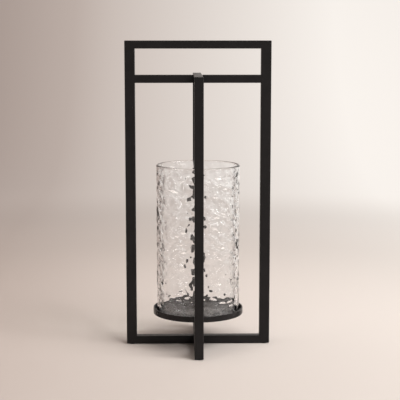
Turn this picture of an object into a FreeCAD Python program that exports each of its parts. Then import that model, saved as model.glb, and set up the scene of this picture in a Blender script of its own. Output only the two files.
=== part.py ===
import FreeCAD, Part
import math
import os

# Hurricane candle lantern. Two frames of solid bar cross at right angles: a tall frame with a
# carrying handle, across X, and a lower hoop, across Y, which straddles the tall frame's cross bar.
# A round tray on a short pedestal stands over the crossing of their base bars and carries a loose
# glass cylinder. Millimetres, +Z up, origin on the floor under the middle of the crossing.

# Glass cylinder
glass_diameter = 132.0
glass_wall = 4.0
glass_height = 236.5
glass_rim_round = 1.5
glass_foot_round = 1.0

# Tray that the glass stands in
glass_to_band_gap = 3.5
band_thickness = 2.0
band_rise = 7.0
band_round = 0.5
tray_sheet = 2.0
tray_weld_gap = 0.05

# Bars of both frames
bar_size = 12.5
frame_depth = 13.8
post_width = 16.0
eased_edge = 1.2
tray_to_side_post = 27.0
tray_to_hoop_post = 15.5
reach_in_height = 128.4
handle_gap = 40.6
lap_clearance = 0.1

# Pedestal under the tray
pedestal_height = 38.0
pedestal_diameter = 12.0
pedestal_wall = 1.9
boss_length = 12.0
boss_clearance = 0.1

# Countersunk socket screws
frame_screw_diameter = 4.0
frame_screw_head = 7.6
frame_screw_socket = 2.5
foot_screw_bite = 10.0
lap_screw_cover = 1.5
pedestal_screw_diameter = 5.0
pedestal_screw_head = 9.4
pedestal_screw_socket = 3.0
pedestal_screw_bite = 7.0
socket_depth = 1.5
shank_clearance = 0.2
thread_clearance = 0.05
tap_run_out = 0.5

# Rubber pads under the feet
pad_thickness = 1.0
pad_diameter = 10.0

# Heights above the floor
base_bottom = pad_thickness
base_top = base_bottom + bar_size
tray_bottom = base_top + pedestal_height
tray_floor = tray_bottom + tray_sheet
glass_rim = tray_floor + glass_height
hoop_top = glass_rim + reach_in_height + bar_size
handle_top = hoop_top + handle_gap + bar_size

# Widths
band_bore = glass_diameter + 2 * glass_to_band_gap
tray_diameter = band_bore + 2 * band_thickness
tall_frame_width = tray_diameter + 2 * (tray_to_side_post + post_width)
hoop_depth = tray_diameter + 2 * (tray_to_hoop_post + post_width)

TOUCHING = 1e-6


def box(x_range, y_range, z_range):
    """A box between two limits on each axis."""
    size = [high - low for low, high in (x_range, y_range, z_range)]
    corner = FreeCAD.Vector(x_range[0], y_range[0], z_range[0])
    return Part.makeBox(*size, corner)


def rod(diameter, low, high):
    """A round rod on the Z axis."""
    return Part.makeCylinder(diameter / 2, high - low, FreeCAD.Vector(0, 0, low))


def tube(outer_diameter, inner_diameter, low, high):
    """A round tube on the Z axis."""
    return rod(outer_diameter, low, high).cut(rod(inner_diameter, low, high))


def rounded_ends(shape, level, radius):
    """Round the circular edges of a shape that lie at one height."""
    edges = [edge for edge in shape.Edges if abs(edge.BoundBox.ZMax - level) < TOUCHING
             and abs(edge.BoundBox.ZMin - level) < TOUCHING]
    return shape.makeFillet(radius, edges)


def moved(shape, x, y, z):
    """A copy of a shape, shifted."""
    copy = shape.copy()
    copy.translate(FreeCAD.Vector(x, y, z))
    return copy


def turned_to_y(shape):
    """A copy of a shape built across X, turned to lie across Y."""
    copy = shape.copy()
    copy.rotate(FreeCAD.Vector(), FreeCAD.Vector(0, 0, 1), 90)
    return copy


def eased_frame(span, top, windows):
    """A welded frame of bar across X, ground flush at its corners, with its edges eased."""
    half_span = span / 2
    half_depth = frame_depth / 2
    inner = half_span - post_width
    frame = box((-half_span, half_span), (-half_depth, half_depth), (base_bottom, top))
    for low, high in windows:
        frame = frame.cut(box((-inner, inner), (-half_depth, half_depth), (low, high)))
    edges = []
    for edge in frame.Edges:
        middle = edge.CenterOfMass
        on_flat_side = abs(abs(middle.y) - half_depth) < TOUCHING
        at_outer_corner = abs(abs(middle.x) - half_span) < TOUCHING and abs(middle.y) < TOUCHING
        if on_flat_side or at_outer_corner:
            edges.append(edge)
    return frame.makeFillet(eased_edge, edges)


def frame_piece(frame, x_range, z_range):
    """The bar of a frame that lies within these limits."""
    return frame.common(box(x_range, (-frame_depth, frame_depth), z_range))


def hexagon(width, low, high):
    """A hexagonal prism on the Z axis, by its width across flats."""
    corner_radius = width / 2 / math.cos(math.pi / 6)
    corners = []
    for side in range(7):
        angle = side * math.pi / 3
        corners.append(FreeCAD.Vector(corner_radius * math.cos(angle), corner_radius * math.sin(angle), low))
    return Part.Face(Part.makePolygon(corners)).extrude(FreeCAD.Vector(0, 0, high - low))


def screw_body(diameter, head_diameter, length):
    """Countersunk head and shank, tip up, with the head's flat at z = 0."""
    head_height = (head_diameter - diameter) / 2
    head = Part.makeCone(head_diameter / 2, diameter / 2, head_height)
    return head.fuse(rod(diameter, head_height, length)).removeSplitter()


def screw(diameter, head_diameter, socket, length):
    """A countersunk screw with a hexagon socket, tip up, with the head's flat at z = 0."""
    return screw_body(diameter, head_diameter, length).cut(hexagon(socket, 0, socket_depth))


def screw_passage(diameter, head_diameter, length):
    """What a countersunk screw needs cut away where it passes freely."""
    room = 2 * shank_clearance
    return screw_body(diameter + room, head_diameter + room, length)


def tapped_hole(diameter, low, high):
    """A threaded hole, as a plain bore a little wider than the screw."""
    return rod(diameter + 2 * thread_clearance, low, high)


def foot_middle(span):
    """Distance from the centre to the middle of a post in a frame of this span."""
    return (span - post_width) / 2


def lap_notch(low, high):
    """The half of a bar across X that is cut away for a bar of the other frame."""
    half_width = frame_depth / 2 + lap_clearance
    return box((-half_width, half_width), (-frame_depth, frame_depth), (low, high))


def tall_frame_pieces():
    """Two full-height posts with the handle bar, cross bar and base bar welded between them."""
    cross_bottom = hoop_top - bar_size
    handle_bottom = handle_top - bar_size
    windows = [(base_top, cross_bottom), (hoop_top, handle_bottom)]
    frame = eased_frame(tall_frame_width, handle_top, windows)
    outer = tall_frame_width / 2
    inner = outer - post_width
    all_heights = (base_bottom, handle_top)

    cross_bar = frame_piece(frame, (-inner, inner), (cross_bottom, hoop_top))
    cross_bar = cross_bar.cut(lap_notch(hoop_top - bar_size / 2, hoop_top))
    passage = screw_passage(frame_screw_diameter, frame_screw_head, bar_size)
    cross_bar = cross_bar.cut(moved(passage, 0, 0, cross_bottom))

    base_bar = frame_piece(frame, (-inner, inner), (base_bottom, base_top))
    base_bar = base_bar.cut(lap_notch(base_bottom, base_bottom + bar_size / 2))
    shank_hole = rod(pedestal_screw_diameter + 2 * shank_clearance, base_bottom, base_top)

    return {
        "left_post": frame_piece(frame, (-outer, -inner), all_heights),
        "right_post": frame_piece(frame, (inner, outer), all_heights),
        "handle_bar": frame_piece(frame, (-inner, inner), (handle_bottom, handle_top)),
        "cross_bar": cross_bar,
        "long_base_bar": base_bar.cut(shank_hole),
    }


def hoop_pieces():
    """Two posts welded to a top bar, standing on a loose base bar that is screwed on from below."""
    top_bottom = hoop_top - bar_size
    frame = eased_frame(hoop_depth, hoop_top, [(base_top, top_bottom)])
    outer = hoop_depth / 2
    inner = outer - post_width
    post_heights = (base_top, hoop_top)

    top_bar = frame_piece(frame, (-inner, inner), (top_bottom, hoop_top))
    top_bar = top_bar.cut(lap_notch(top_bottom, hoop_top - bar_size / 2))
    top_bar = top_bar.cut(tapped_hole(frame_screw_diameter, top_bottom, hoop_top - lap_screw_cover))

    base_bar = frame_piece(frame, (-outer, outer), (base_bottom, base_top))
    base_bar = base_bar.cut(lap_notch(base_bottom + bar_size / 2, base_top))
    passage = screw_passage(pedestal_screw_diameter, pedestal_screw_head, bar_size)
    base_bar = base_bar.cut(moved(passage, 0, 0, base_bottom))

    posts = {}
    foot_passage = screw_passage(frame_screw_diameter, frame_screw_head, bar_size)
    tap = tapped_hole(frame_screw_diameter, base_top, base_top + foot_screw_bite + tap_run_out)
    for name, side in (("front_post", -1), ("rear_post", 1)):
        place = side * foot_middle(hoop_depth)
        limits = sorted((side * inner, side * outer))
        posts[name] = frame_piece(frame, limits, post_heights).cut(moved(tap, place, 0, 0))
        base_bar = base_bar.cut(moved(foot_passage, place, 0, base_bottom))

    pieces = {**posts, "hoop_top_bar": top_bar, "short_base_bar": base_bar}
    return {name: turned_to_y(shape) for name, shape in pieces.items()}


def frame_screws():
    """One screw that pins the lap at the top, and one up into each post of the hoop."""
    lap_length = bar_size - lap_screw_cover - tap_run_out
    lap_screw = screw(frame_screw_diameter, frame_screw_head, frame_screw_socket, lap_length)
    foot_length = bar_size + foot_screw_bite
    foot_screw = screw(frame_screw_diameter, frame_screw_head, frame_screw_socket, foot_length)
    foot_place = foot_middle(hoop_depth)
    return {
        "lap_screw": moved(lap_screw, 0, 0, hoop_top - bar_size),
        "front_foot_screw": moved(foot_screw, 0, -foot_place, base_bottom),
        "rear_foot_screw": moved(foot_screw, 0, foot_place, base_bottom),
    }


def pedestal_pieces():
    """A tube over the crossing, and the long screw that draws the tray's boss down onto it."""
    bore = pedestal_diameter - 2 * pedestal_wall
    boss_bottom = tray_bottom - boss_length
    boss = rod(bore - 2 * boss_clearance, boss_bottom, tray_bottom)
    thread_top = boss_bottom + pedestal_screw_bite + tap_run_out
    length = boss_bottom + pedestal_screw_bite - base_bottom
    long_screw = screw(pedestal_screw_diameter, pedestal_screw_head, pedestal_screw_socket, length)
    return {
        "pedestal": tube(pedestal_diameter, bore, base_top, tray_bottom),
        "tray_boss": boss.cut(tapped_hole(pedestal_screw_diameter, boss_bottom, thread_top)),
        "pedestal_screw": moved(long_screw, 0, 0, base_bottom),
    }


def tray_pieces():
    """A flat disc welded inside a rolled band that stands up as the tray's rim."""
    band_top = tray_floor + band_rise
    band = tube(tray_diameter, band_bore, tray_bottom, band_top)
    return {
        "tray_disc": rod(band_bore - 2 * tray_weld_gap, tray_bottom, tray_floor),
        "tray_band": rounded_ends(band, band_top, band_round),
    }


def glass_cylinder():
    """The open glass sleeve, with its rim and foot melted round."""
    sleeve = tube(glass_diameter, glass_diameter - 2 * glass_wall, tray_floor, glass_rim)
    sleeve = rounded_ends(sleeve, glass_rim, glass_rim_round)
    return rounded_ends(sleeve, tray_floor, glass_foot_round)


def foot_pads():
    """A rubber disc under each foot of both frames."""
    pad = rod(pad_diameter, 0, pad_thickness)
    along_x = foot_middle(tall_frame_width)
    along_y = foot_middle(hoop_depth)
    return {
        "left_foot_pad": moved(pad, -along_x, 0, 0),
        "right_foot_pad": moved(pad, along_x, 0, 0),
        "front_foot_pad": moved(pad, 0, -along_y, 0),
        "rear_foot_pad": moved(pad, 0, along_y, 0),
    }


pieces = {
    **tall_frame_pieces(),
    **hoop_pieces(),
    **frame_screws(),
    **pedestal_pieces(),
    **tray_pieces(),
    "glass_cylinder": glass_cylinder(),
    **foot_pads(),
}

os.makedirs("parts", exist_ok=True)
for name, shape in pieces.items():
    shape.exportStep(f"parts/{name}.step")
    print(f"{name}: {len(shape.Solids)} solid, {shape.Volume:.1f} mm3, valid {shape.isValid()}")
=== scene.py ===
import math

import bmesh
import bpy
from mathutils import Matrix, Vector, noise


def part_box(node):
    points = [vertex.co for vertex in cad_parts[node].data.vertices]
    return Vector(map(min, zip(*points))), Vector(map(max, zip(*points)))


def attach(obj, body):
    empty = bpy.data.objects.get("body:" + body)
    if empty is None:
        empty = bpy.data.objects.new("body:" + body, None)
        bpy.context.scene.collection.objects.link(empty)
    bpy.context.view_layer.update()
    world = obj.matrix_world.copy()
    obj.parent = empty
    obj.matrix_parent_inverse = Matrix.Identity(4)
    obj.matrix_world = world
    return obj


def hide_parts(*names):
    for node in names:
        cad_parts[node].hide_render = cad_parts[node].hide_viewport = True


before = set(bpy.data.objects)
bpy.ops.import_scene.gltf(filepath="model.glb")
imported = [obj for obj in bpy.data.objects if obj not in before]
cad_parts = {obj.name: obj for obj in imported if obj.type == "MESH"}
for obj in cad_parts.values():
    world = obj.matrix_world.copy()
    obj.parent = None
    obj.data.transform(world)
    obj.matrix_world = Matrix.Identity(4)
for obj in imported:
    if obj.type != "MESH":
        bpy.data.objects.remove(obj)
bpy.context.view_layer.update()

scene = bpy.context.scene
scene.view_settings.view_transform = "Standard"


# Bars of both frames: solid steel bar, welded at the corners, ground flush and sprayed with a satin
# black coat. The two frames lap into each other at the middle of the cross bar and of the base bars.
def new_material(name):
    """An empty material with its Principled shader, ready for its nodes."""
    material = bpy.data.materials.new(name)
    material.use_nodes = True
    tree = material.node_tree
    return material, tree, tree.nodes["Principled BSDF"]


def feed(tree, node, inputs):
    """Give each named input of a node a plain value or another node's output."""
    for socket, value in inputs.items():
        if isinstance(value, bpy.types.NodeSocket):
            tree.links.new(value, node.inputs[socket])
        else:
            node.inputs[socket].default_value = value


def add_node(tree, kind, inputs, **settings):
    """A shader node of this kind, with its settings and what feeds it."""
    node = tree.nodes.new("ShaderNode" + kind)
    for setting, value in settings.items():
        setattr(node, setting, value)
    feed(tree, node, inputs)
    return node


def work_out(tree, operation, *values, **settings):
    """The result of a sum on numbers, such as the larger of two."""
    return add_node(tree, "Math", dict(enumerate(values)), operation=operation, **settings).outputs["Value"]


def length_of(tree, vector, weights):
    """The length of a vector whose parts are weighed first."""
    weighed = add_node(tree, "VectorMath", {0: vector, 1: weights}, operation="MULTIPLY").outputs["Vector"]
    return add_node(tree, "VectorMath", {0: weighed}, operation="LENGTH").outputs["Value"]


def object_noise(tree, cells, detail):
    """A noise pattern fixed to the object, with this many cells per metre."""
    place = add_node(tree, "TexCoord", {}).outputs["Object"]
    return add_node(tree, "TexNoise", {"Vector": place, "Scale": cells, "Detail": detail}).outputs["Fac"]


def ramp(tree, source, low, high, low_at=0.35, high_at=0.65):
    """A colour that runs from low to high as a pattern rises."""
    node = add_node(tree, "ValToRGB", {"Fac": source})
    for stop, position, colour in zip(node.color_ramp.elements, (low_at, high_at), (low, high)):
        stop.position = position
        stop.color = (*colour, 1)
    return node.outputs["Color"]


def spread(tree, source, low, high, start=0.3, end=0.7, way="LINEAR"):
    """A number that runs from low to high while a value goes from start to end."""
    inputs = {"Value": source, "From Min": start, "From Max": end, "To Min": low, "To Max": high}
    return add_node(tree, "MapRange", inputs, interpolation_type=way).outputs["Result"]


def blend(tree, share, first, second):
    """A colour that goes from the first to the second as a share rises from 0 to 1."""
    inputs = {"Factor": share, "A": first, "B": second}
    return add_node(tree, "Mix", inputs, data_type="RGBA").outputs["Result"]


def bump(tree, source, depth, under=None):
    """Fine relief of this depth in metres, over another relief if there is one."""
    inputs = {"Distance": depth, "Height": source}
    if under:
        inputs["Normal"] = under
    return add_node(tree, "Bump", inputs).outputs["Normal"]


def edge_wear(tree, turned, flat=0.97, edge=0.78, patches=70):
    """A broken mask along rounded edges, found from the normal, for straight bars or for turned pieces."""
    normal = add_node(tree, "TexCoord", {}).outputs["Normal"]
    folded = add_node(tree, "VectorMath", {0: normal}, operation="ABSOLUTE").outputs["Vector"]
    axes = add_node(tree, "SeparateXYZ", {"Vector": folded}).outputs
    if turned:
        sideways = length_of(tree, folded, (1, 1, 0))
    else:
        sideways = work_out(tree, "MAXIMUM", axes["X"], axes["Y"])
    facing = work_out(tree, "MAXIMUM", sideways, axes["Z"])
    broken = spread(tree, object_noise(tree, patches, detail=5), 0.0, 1.0)
    return work_out(tree, "MULTIPLY", spread(tree, facing, 0.0, 1.0, flat, edge), broken)


def satin_black_coat(name, deep, pale, mottling, smooth, rough, waves, shine, turned=False):
    """Sprayed black: faint mottling (on the tray disc a strong one, partly painted light), uneven sheen,
    orange peel on waves of this depth and rubbed edges.
    """
    rubbed_black = (0.022, 0.020, 0.020, 1)
    rubbed_polish = -0.08
    sheen_patches = 190
    peel_grains = 900
    peel_depth = 0.00002
    material, tree, shader = new_material(name)
    wear = edge_wear(tree, turned)
    # Colour mottle: an uneven coat on the bars and band, and on the tray disc partly painted light.
    mottle_and_painted_light = ramp(tree, object_noise(tree, mottling, detail=4), deep, pale)
    sheen = object_noise(tree, sheen_patches, detail=3)
    peel = bump(tree, object_noise(tree, peel_grains, detail=2), peel_depth)
    feed(tree, shader, {
        "Base Color": blend(tree, wear, mottle_and_painted_light, rubbed_black),
        "Roughness": work_out(tree, "MULTIPLY_ADD", wear, rubbed_polish, spread(tree, sheen, smooth, rough)),
        "Normal": bump(tree, sheen, waves, under=peel),
        "Specular IOR Level": shine,
    })
    return material


def dress(names, material):
    """Give CAD pieces their finish."""
    for name in names.split():
        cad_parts[name].data.materials[0] = material


bar_coat = satin_black_coat("bar_coat", deep=(0.0046, 0.0038, 0.0040), pale=(0.0076, 0.0064, 0.0067),
                            mottling=45, smooth=0.31, rough=0.43, waves=0.00003, shine=0.25)
dress("left_post right_post handle_bar cross_bar long_base_bar", bar_coat)
dress("front_post rear_post hoop_top_bar short_base_bar", bar_coat)


# Tray: a flat steel disc welded inside a rolled band. A threaded boss under it sits in a short tube, the
# pedestal, which stands on the crossing of the base bars. All are sprayed with the same black, and the
# coat of the disc, where the glass and a candle stand, is rougher. Its strong mottle from near black to
# grey is partly an uneven coat and partly painted light: patches of light and reflection that the
# dimpled glass throws onto it.
band_coat = satin_black_coat("band_coat", deep=(0.0042, 0.0036, 0.0039), pale=(0.0080, 0.0070, 0.0074),
                             mottling=45, smooth=0.25, rough=0.36, waves=0.00005, shine=0.25, turned=True)
# The disc's strong mottle from near black to grey is partly painted light, patches that the glass throws on
# it.
disc_coat_painted_light = satin_black_coat("disc_coat_painted_light", deep=(0.0030, 0.0026, 0.0027), pale=(0.024, 0.022, 0.0215),
                             mottling=240, smooth=0.12, rough=0.50, waves=0.0002, shine=0.18, turned=True)
dress("tray_disc", disc_coat_painted_light)
dress("tray_band tray_boss", band_coat)
dress("pedestal", bar_coat)


# Screws: zinc-plated steel, let into the bars from below. One pins the top crossing, two hold the base
# bar to the hoop's posts, and a long one pulls base bars, pedestal and tray together.
zinc_dull = (0.38, 0.38, 0.39)
zinc_bright = (0.55, 0.55, 0.56)
zinc, zinc_tree, zinc_shader = new_material("zinc_plate")
zinc_spangle = object_noise(zinc_tree, cells=700, detail=3)
feed(zinc_tree, zinc_shader, {
    "Base Color": ramp(zinc_tree, zinc_spangle, zinc_dull, zinc_bright),
    "Roughness": spread(zinc_tree, zinc_spangle, low=0.28, high=0.42),
    "Metallic": 1.0,
})
dress("lap_screw front_foot_screw rear_foot_screw pedestal_screw", zinc)


# Pads: thin moulded discs of black rubber with a matt, grained skin, stuck under the four feet so that
# the bars don't touch the table.
rubber_deep = (0.012, 0.012, 0.012)
rubber_pale = (0.025, 0.024, 0.023)
rubber_relief = 0.00005
rubber, rubber_tree, rubber_shader = new_material("pad_rubber_skin")
rubber_grain = object_noise(rubber_tree, cells=1500, detail=3)
feed(rubber_tree, rubber_shader, {
    "Base Color": ramp(rubber_tree, rubber_grain, rubber_deep, rubber_pale),
    "Roughness": spread(rubber_tree, rubber_grain, low=0.7, high=0.9),
    "Normal": bump(rubber_tree, rubber_grain, rubber_relief),
})
dress("left_foot_pad right_foot_pad front_foot_pad rear_foot_pad", rubber)


# Glass: an open sleeve of thick clear glass, blown into a hammered mould, so that its outside is covered
# with shallow dimples, wider than tall, and its bore is faintly uneven. Its rim and foot are melted
# round. It stands loose on the tray.
glass_low, glass_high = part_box("glass_cylinder")
glass_radius = 0.066
glass_wall = 0.004
glass_round = 0.0015
round_steps = 4
ring_steps = 360
outside_rows = 190
bore_rows = 60
same_place = 1e-6
on_skin = 1e-5


def turn_once(mesh, outline, steps):
    """Turn an outline once round the upright axis and close it."""
    bmesh.ops.spin(mesh, geom=outline, cent=(0, 0, 0), axis=(0, 0, 1), angle=2 * math.pi, steps=steps,
                   use_merge=True)


def radius_of(vertex):
    """How far a vertex is from the upright axis."""
    return math.hypot(vertex.co.x, vertex.co.y)


def rise(edge):
    """How much higher one end of an edge is than the other."""
    return abs(edge.verts[0].co.z - edge.verts[1].co.z)


def is_ring(edge):
    """True for an edge that runs round the glass, not up it or across its wall."""
    widening = abs(radius_of(edge.verts[0]) - radius_of(edge.verts[1]))
    return rise(edge) < same_place and widening < same_place


bore_radius = glass_radius - glass_wall
half_wall = glass_radius - glass_wall / 2
half_height = (glass_high.z - glass_low.z) / 2
glass_mesh = bmesh.new()
section = [(bore_radius, glass_low.z), (glass_radius, glass_low.z),
           (glass_radius, glass_high.z), (bore_radius, glass_high.z)]
corners = [glass_mesh.verts.new((radius, 0, height)) for radius, height in section]
sides = [glass_mesh.edges.new(pair) for pair in zip(corners, corners[1:] + corners[:1])]
turn_once(glass_mesh, corners + sides, ring_steps)
bmesh.ops.recalc_face_normals(glass_mesh, faces=glass_mesh.faces)
rings = [edge for edge in glass_mesh.edges if is_ring(edge)]
bmesh.ops.bevel(glass_mesh, geom=rings, offset=glass_round, offset_type="OFFSET", affect="EDGES",
                segments=round_steps, profile=0.5, material=-1)
uprights = [edge for edge in glass_mesh.edges if rise(edge) > half_height]
outside = [edge for edge in uprights if radius_of(edge.verts[0]) > half_wall]
inside = [edge for edge in uprights if radius_of(edge.verts[0]) < half_wall]
bmesh.ops.subdivide_edges(glass_mesh, edges=outside, cuts=outside_rows, use_grid_fill=True)
bmesh.ops.subdivide_edges(glass_mesh, edges=inside, cuts=bore_rows, use_grid_fill=True)

dimple_width = 0.013
dimple_flatness = 1.5
dimple_drift = 0.27
drift_cells = 0.5
drift_layers = (0, 31, 77)
dimple_unevenness = 0.12
unevenness_cells = 3.7
ridge_sharpness = 10
ridge_level = 0.45
outside_relief = 0.0022
bore_relief = 0.0003
plain_rim = 0.012
plain_foot = 0.003
plain_share = 0.3


def dip(point):
    """How deep the hammered skin lies at a point: round bowls that meet in soft ridges, as a plain number."""
    place = Vector((point.x, point.y, point.z * dimple_flatness)) / dimple_width
    drift = [noise.noise(place * drift_cells + Vector((0, 0, layer))) for layer in drift_layers]
    distances, middles = noise.voronoi(place + Vector(drift) * dimple_drift)
    merged = 0.0
    for far, middle in zip(distances, middles):
        lift = dimple_unevenness * noise.noise(middle * unevenness_cells)
        merged += math.exp(-ridge_sharpness * (far * far + lift))
    return max(0.0, ridge_level + math.log(merged) / ridge_sharpness)


for vertex in glass_mesh.verts:
    edge_room = min((vertex.co.z - glass_low.z) / plain_foot, (glass_high.z - vertex.co.z) / plain_rim)
    fade = min(1.0, max(0.0, edge_room - plain_share))
    outward = Vector((vertex.co.x, vertex.co.y, 0)).normalized()
    if radius_of(vertex) > glass_radius - on_skin:
        vertex.co -= outward * outside_relief * dip(vertex.co) * fade
    elif radius_of(vertex) < bore_radius + on_skin:
        vertex.co += outward * bore_relief * dip(vertex.co) * fade


def smooth_piece(name, mesh):
    """A smooth object in the scene from a finished mesh."""
    for face in mesh.faces:
        face.smooth = True
    data = bpy.data.meshes.new(name)
    mesh.to_mesh(data)
    mesh.free()
    piece = bpy.data.objects.new(name, data)
    scene.collection.objects.link(piece)
    return piece


glass_tint = (0.982, 0.986, 0.992, 1)
glass_shadow_tint = (0.9, 0.91, 0.905, 1)
glass_piece = smooth_piece("pebbled_glass", glass_mesh)
clear_glass, glass_tree, glass_shader = new_material("clear_pebbled_glass")
feed(glass_tree, glass_shader, {
    "Base Color": glass_tint,
    "Transmission Weight": 1.0,
    "IOR": 1.5,
    "Roughness": 0.0,
})
see_through = add_node(glass_tree, "BsdfTransparent", {"Color": glass_shadow_tint}).outputs["BSDF"]
casts_shadow = add_node(glass_tree, "LightPath", {}).outputs["Is Shadow Ray"]
either = add_node(glass_tree, "MixShader", {0: casts_shadow, 1: glass_shader.outputs["BSDF"], 2: see_through})
feed(glass_tree, glass_tree.nodes["Material Output"], {"Surface": either.outputs["Shader"]})
glass_piece.data.materials.append(clear_glass)
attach(glass_piece, "glass")
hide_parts("glass_cylinder")


# Studio paper: a pale round cove whose floor runs up into the wall all round. Its colour carries painted
# shade: it darkens from right to left, as light would fall off away from a lamp on the right, and turns
# pale again far to the left. A darker patch behind on the left and a soft darker band where the floor ends
# are painted shade too. Round the lantern it is lit and keeps the shadow, and further out it glows by
# itself. It doesn't stop the lamps, which stand outside it.
cove_radius = 3.2
cove_height = 1.9
cove_bend = 1.4
bend_steps = 12
cove_steps = 96
merge_room = 1e-5
bend_start = cove_radius - cove_bend
cove_outline = [(0, 0), (bend_start, 0)]
for step in range(1, bend_steps + 1):
    angle = step / bend_steps * math.pi / 2
    cove_outline.append((bend_start + cove_bend * math.sin(angle), cove_bend - cove_bend * math.cos(angle)))
cove_outline.append((cove_radius, cove_height))
cove_mesh = bmesh.new()
profile = [cove_mesh.verts.new((radius, 0, height)) for radius, height in cove_outline]
lines = [cove_mesh.edges.new(pair) for pair in zip(profile, profile[1:])]
turn_once(cove_mesh, profile + lines, cove_steps)
bmesh.ops.remove_doubles(cove_mesh, verts=cove_mesh.verts, dist=merge_room)
bmesh.ops.recalc_face_normals(cove_mesh, faces=cove_mesh.faces)
bmesh.ops.reverse_faces(cove_mesh, faces=cove_mesh.faces)
cove = smooth_piece("studio_cove", cove_mesh)
cove.visible_shadow = False

# Painted shade: the paper is pale on the right and darker on the left, as if lit from the right.
paper_left_painted_shade = (0.47, 0.403, 0.368, 1)
paper_right = (0.88, 0.845, 0.805, 1)
# Painted shade: a dark brown patch on the paper behind on the left.
painted_shade_tone = (0.325, 0.264, 0.238, 1)
left_end, right_start = -0.45, 0.6
far_left_start, far_left_end = -0.8, -2.9
shade_place = (-1.0, 2.4, 0)
shade_weights = (1, 0.3, 0)
shade_edge, shade_core = 0.75, 0.1
# Painted shade: a soft darker ring round the lantern where the floor ends, keeping this share of the tint.
painted_band_shade = 0.85
band_start, band_full, band_fade, band_end = 0.30, 0.95, 1.25, 1.85
glow_start, glow_full = 0.5, 2.0
glow_strength = 0.775
matt_under_glow = 0.25

paper, paper_tree, paper_shader = new_material("studio_paper")


def toned(colour, share):
    """A colour of the paper, kept only to this share."""
    inputs = {0: colour, "Scale": share}
    return add_node(paper_tree, "VectorMath", inputs, operation="SCALE").outputs["Vector"]


paper_place = add_node(paper_tree, "TexCoord", {}).outputs["Object"]
paper_x = add_node(paper_tree, "SeparateXYZ", {"Vector": paper_place}).outputs["X"]
# Painted shade running from right to left, fading back to the pale tone far to the left.
across = spread(paper_tree, paper_x, 0.0, 1.0, left_end, right_start)
far_left = spread(paper_tree, paper_x, 0.0, 1.0, far_left_start, far_left_end, way="SMOOTHSTEP")
painted_falloff_tint = blend(paper_tree, far_left, blend(paper_tree, across, paper_left_painted_shade, paper_right), paper_right)
# Painted shade: the tint darkens towards the patch behind on the left.
from_shade = add_node(paper_tree, "VectorMath", {0: paper_place, 1: shade_place}, operation="SUBTRACT")
shade_room = length_of(paper_tree, from_shade.outputs["Vector"], shade_weights)
shaded = spread(paper_tree, shade_room, 0.0, 1.0, shade_edge, shade_core, way="SMOOTHSTEP")
shaded_tint = blend(paper_tree, shaded, painted_falloff_tint, painted_shade_tone)
away = length_of(paper_tree, paper_place, (1, 1, 1))
# Painted shade: the tint dips in a ring between these distances from the lantern.
into_band = spread(paper_tree, away, 1.0, painted_band_shade, band_start, band_full, way="SMOOTHSTEP")
band = spread(paper_tree, away, into_band, 1.0, band_fade, band_end, way="SMOOTHSTEP")
paper_tint = toned(shaded_tint, band)
glowing = spread(paper_tree, away, 0.0, 1.0, glow_start, glow_full, way="SMOOTHSTEP")
matt = spread(paper_tree, glowing, 1.0, matt_under_glow, 0.0, 1.0)
matt_tint = toned(paper_tint, matt)
paper_ray = add_node(paper_tree, "LightPath", {}).outputs
looked_at = work_out(paper_tree, "ADD", paper_ray["Is Camera Ray"], paper_ray["Is Glossy Ray"])
looked_through = work_out(paper_tree, "ADD", looked_at, paper_ray["Is Transmission Ray"], use_clamp=True)
seen_glow = work_out(paper_tree, "MULTIPLY", glowing, looked_through)
feed(paper_tree, paper_shader, {
    "Base Color": matt_tint,
    "Emission Color": paper_tint,
    "Emission Strength": work_out(paper_tree, "MULTIPLY", seen_glow, glow_strength),
    "Roughness": 0.9,
    "Specular IOR Level": 0.1,
})
cove.data.materials.append(paper)


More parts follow.
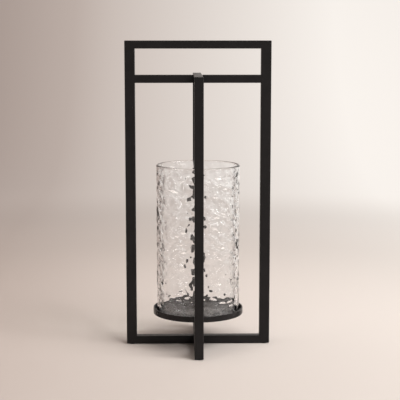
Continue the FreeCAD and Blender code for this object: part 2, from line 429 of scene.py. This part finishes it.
# Lamps: one broad sun from the front right, as from a large window, and a panel with a grid on each side
# that lights only the glass and gives it its glints. Warm air all round fills the shadows.
def aimed(name, data, place, aim):
    """Set up a lamp or camera at a place, facing a point."""
    fitting = bpy.data.objects.new(name, data)
    fitting.location = place
    fitting.rotation_euler = (Vector(aim) - Vector(place)).to_track_quat("-Z", "Y").to_euler()
    scene.collection.objects.link(fitting)
    return fitting


lamp_colour = (1.0, 0.985, 0.97)
key_place = (2.6, -2.05, 2.6)
key_breadth = math.radians(46)
key_strength = 3.4
key_data = bpy.data.lights.new("key_light", "SUN")
key_data.angle = key_breadth
key_data.energy = key_strength
key_data.color = lamp_colour
aimed("key_light", key_data, key_place, (0, 0, 0))

panel_aim = (0, 0, 0.25)
panel_width = 1.8
panel_height = 0.92
panel_power = 5.2
panel_grid = math.radians(60)
panels = (("right_panel", (1.85, -0.9, 0.86), lamp_colour),
          ("left_panel", (-1.85, -0.9, 0.86), (1.0, 0.97, 0.94)))
glass_only = bpy.data.collections.new("glass_only")
glass_only.objects.link(glass_piece)
for name, place, colour in panels:
    panel_data = bpy.data.lights.new(name, "AREA")
    panel_data.shape = "RECTANGLE"
    panel_data.size = panel_width
    panel_data.size_y = panel_height
    panel_data.energy = panel_power
    panel_data.spread = panel_grid
    panel_data.color = colour
    aimed(name, panel_data, place, panel_aim).light_linking.receiver_collection = glass_only

air_colour = (1.0, 0.88, 0.815, 1)
air_strength = 0.65
mirrored_air_strength = 0.6
world = bpy.data.worlds.new("studio_air")
scene.world = world
world.use_nodes = True
air_tree = world.node_tree
air_ray = add_node(air_tree, "LightPath", {}).outputs
mirrored = work_out(air_tree, "ADD", air_ray["Is Glossy Ray"], air_ray["Is Transmission Ray"])
feed(air_tree, air_tree.nodes["Background"], {
    "Color": air_colour,
    "Strength": spread(air_tree, mirrored, air_strength, mirrored_air_strength, 0.0, 1.0),
})


# Camera at the photograph's place: level with the top of the frames, a little left of their middle, with
# a long lens and no shift.
photo_eye = (-0.031, -1.7907, 0.4915)
photo_aim = (0.0032, 0.0, 0.2331)
photo_lens = 102.56
photo_sensor = 36.0
camera_data = bpy.data.cameras.new("photo_camera")
camera_data.lens = photo_lens
camera_data.sensor_width = photo_sensor
scene.camera = aimed("photo_camera", camera_data, photo_eye, photo_aim)
